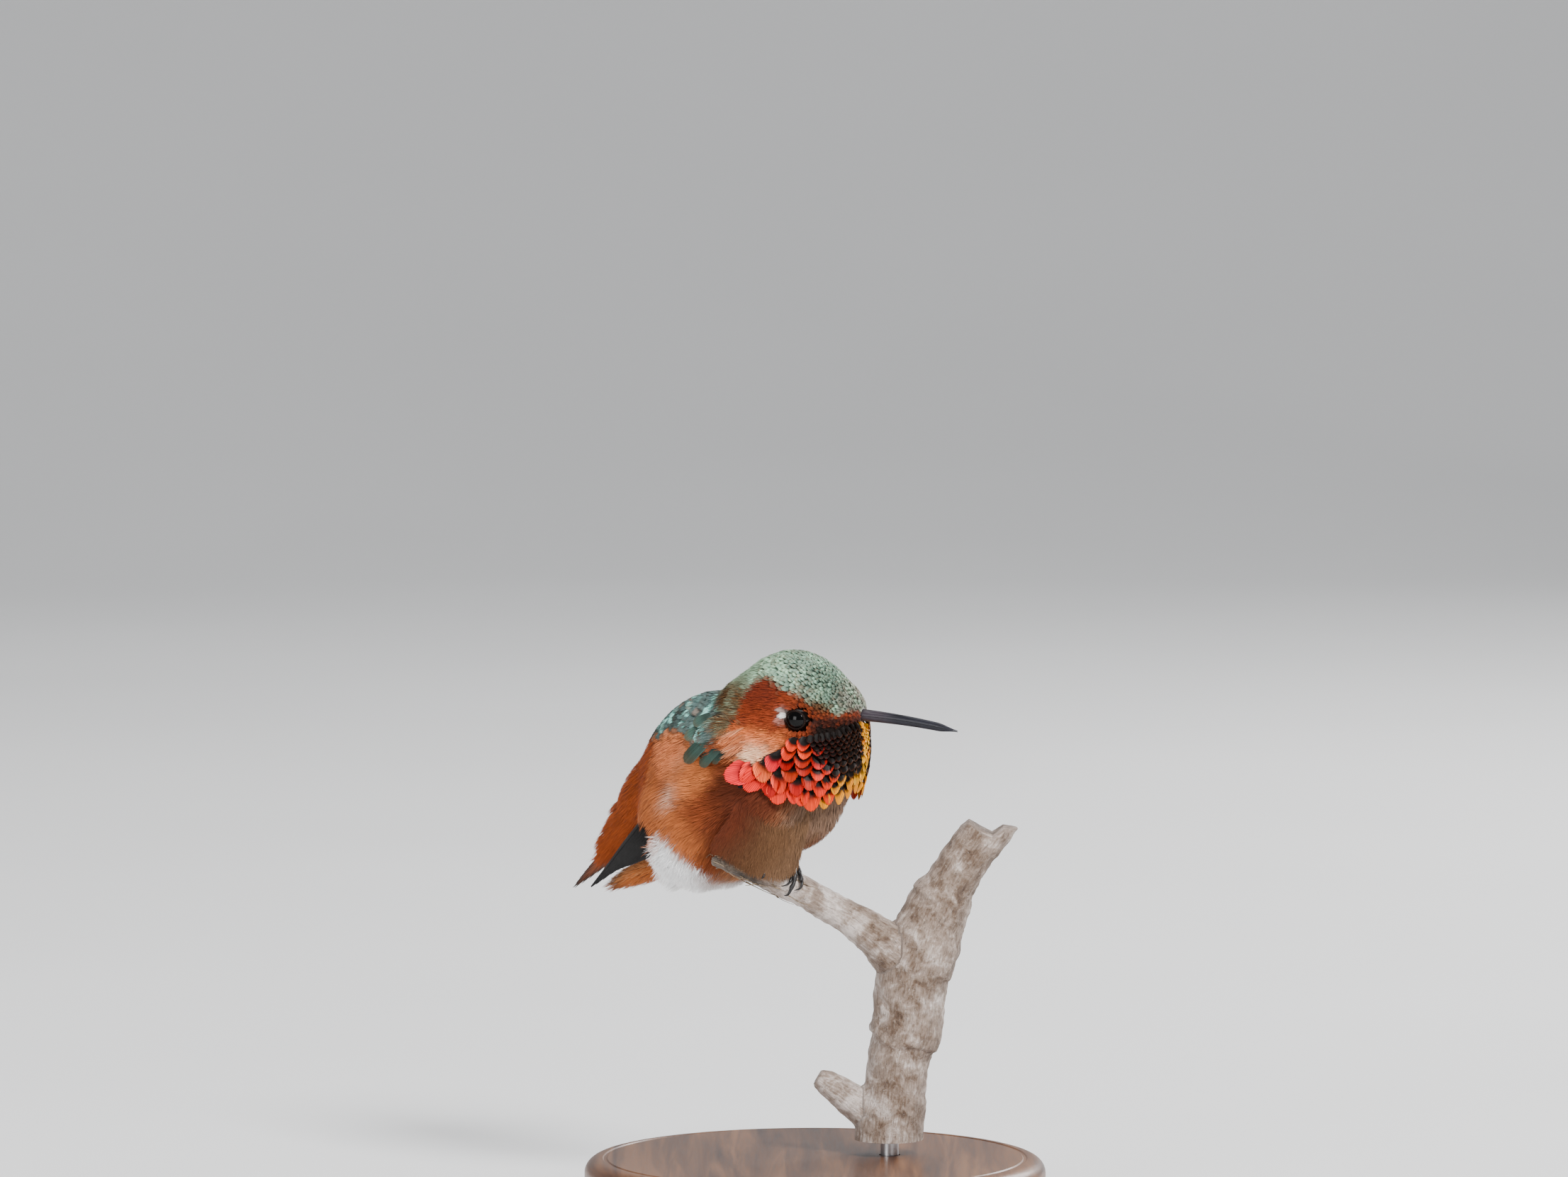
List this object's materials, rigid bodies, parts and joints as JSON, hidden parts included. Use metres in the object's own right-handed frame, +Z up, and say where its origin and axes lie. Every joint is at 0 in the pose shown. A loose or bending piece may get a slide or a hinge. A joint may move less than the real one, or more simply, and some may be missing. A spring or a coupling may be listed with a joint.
{
  "type": "hummingbird",
  "caption": "Adult male hummingbird at rest on a cut forked twig, head turned to the side, flame-coloured gorget, rufous body, green crown and back; on a round display stand.",
  "frame": {"origin": "centre of the underside of the display stand's round base", "axes": "+Z up; the bird faces +X, turned towards -Y, which is the side seen in the source view"},
  "size_m": [0.0778, 0.076, 0.0919],
  "materials": {
    "rufous_plumage": "soft rufous, buff and white body feathers",
    "green_plumage": "iridescent bronze-green feathers",
    "gorget_plumage": "iridescent flame-coloured scale feathers",
    "flight_feathers": "dusky vanes with dark shafts",
    "horn": "black horn, satin",
    "eye": "dark, wet-looking",
    "bark": "weathered bare bark",
    "base_wood": "turned walnut, oiled",
    "rod_steel": "brushed"
  },
  "bodies": {
    "root": {"head": "rufous_plumage", "neck": "green_plumage", "trunk": "rufous_plumage", "gorget": "gorget_plumage", "bill_upper": "horn", "bill_lower": "horn", "eye_left": "eye", "eye_right": "eye", "wing_left": "green_plumage", "wing_right": "green_plumage", "primaries_left": "flight_feathers", "primaries_right": "flight_feathers", "tail": "rufous_plumage", "undertail_coverts": "rufous_plumage", "leg_left": "horn", "leg_right": "horn", "perch": "bark", "stand_base": "base_wood", "stand_rod": "rod_steel"}
  },
  "joints": []
}
